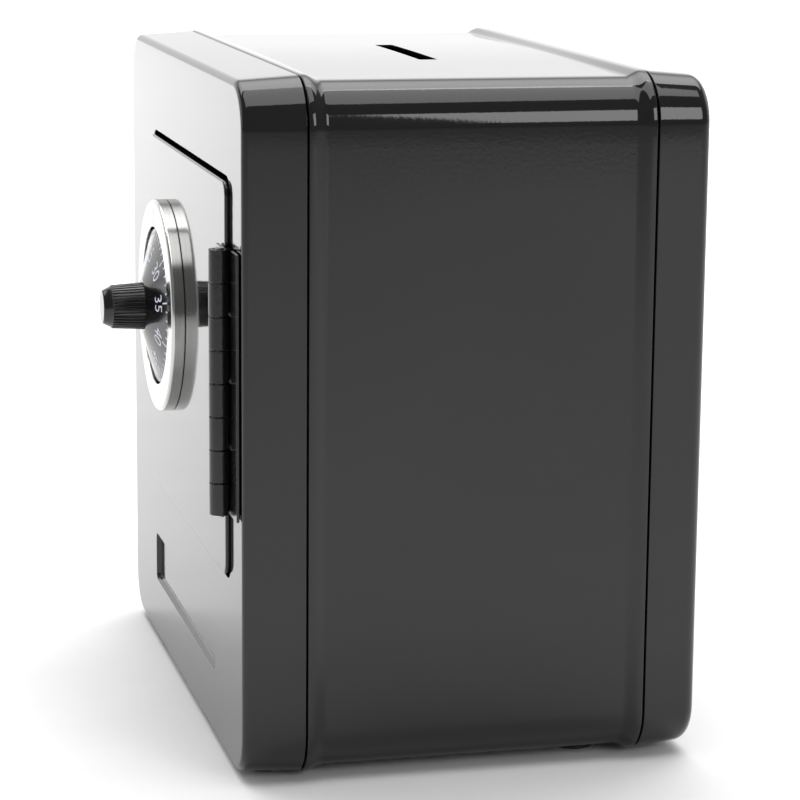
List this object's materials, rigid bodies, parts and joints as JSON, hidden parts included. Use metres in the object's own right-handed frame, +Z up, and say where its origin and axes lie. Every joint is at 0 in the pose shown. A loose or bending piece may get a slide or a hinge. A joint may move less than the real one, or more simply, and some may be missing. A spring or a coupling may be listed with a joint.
{
  "type": "cash box with combination dial",
  "caption": "Small pressed-steel cash box with a coin slot, a side-hinged door and a combination dial with a fluted knob.",
  "frame": {"origin": "centre of the bounding box, at the surface the feet stand on", "axes": "+X right seen from the front, -Y is the front with the door and dial, +Z up"},
  "size_m": [0.148, 0.1168, 0.1495],
  "materials": {
    "black_enamel": "glossy black stoved enamel on pressed steel",
    "hinge_black": "semi-gloss black paint",
    "satin_ring": "satin turned metal",
    "dial_black": "glossy black moulding, printed scale",
    "zinc_plate": "bright zinc plate",
    "brass": "stamped brass",
    "foot_rubber": "matt black rubber"
  },
  "bodies": {
    "box": {"front_shell": "black_enamel", "body_shell": "black_enamel", "rear_shell": "black_enamel", "door_stop_strip": "black_enamel", "strike_bracket": "zinc_plate", "foot_front_left": "foot_rubber", "foot_front_right": "foot_rubber", "foot_rear_left": "foot_rubber", "foot_rear_right": "foot_rubber", "hinge_fixed_leaf": "hinge_black", "hinge_pin": "zinc_plate"},
    "door": {"door_panel": "black_enamel", "hinge_door_leaf": "hinge_black", "dial_ring": "satin_ring", "spindle_bush": "brass", "bush_nut": "brass", "spindle_sleeve": "brass", "ring_screw_1": "zinc_plate", "ring_screw_2": "zinc_plate", "ring_screw_3": "zinc_plate", "lock_cover": "zinc_plate", "cover_stud_1": "zinc_plate", "cover_stud_2": "zinc_plate", "cover_nut_1": "zinc_plate", "cover_nut_2": "zinc_plate"},
    "dial": {"dial_cone": "dial_black", "dial_knob": "dial_black", "dial_spindle": "zinc_plate", "drive_wheel": "brass", "spring_washer": "zinc_plate", "retaining_clip": "zinc_plate", "wheel_spacer_front": "zinc_plate", "wheel_spacer_rear": "zinc_plate"},
    "front_wheel": {"combination_wheel_front": "brass"},
    "middle_wheel": {"combination_wheel_middle": "brass"}
  },
  "joints": [
    {"name": "door_swing", "type": "hinge", "parent": "box", "child": "door", "pos_m": [0.0619, -0.04465, 0.0855], "axis": [0, 0, 1], "range_deg": [0, 170]},
    {"name": "dial_spin", "type": "hinge", "parent": "door", "child": "dial", "pos_m": [-0.0153, -0.046, 0.089], "axis": [0, -1, 0], "continuous": true},
    {"name": "front_wheel_spin", "type": "hinge", "parent": "door", "child": "front_wheel", "pos_m": [-0.0153, -0.0339, 0.089], "axis": [0, -1, 0], "continuous": true},
    {"name": "middle_wheel_spin", "type": "hinge", "parent": "door", "child": "middle_wheel", "pos_m": [-0.0153, -0.031, 0.089], "axis": [0, -1, 0], "continuous": true}
  ],
  "couplings": [
    {"joint": "front_wheel_spin", "follows": "dial_spin", "ratio": 1},
    {"joint": "middle_wheel_spin", "follows": "dial_spin", "ratio": 1}
  ]
}
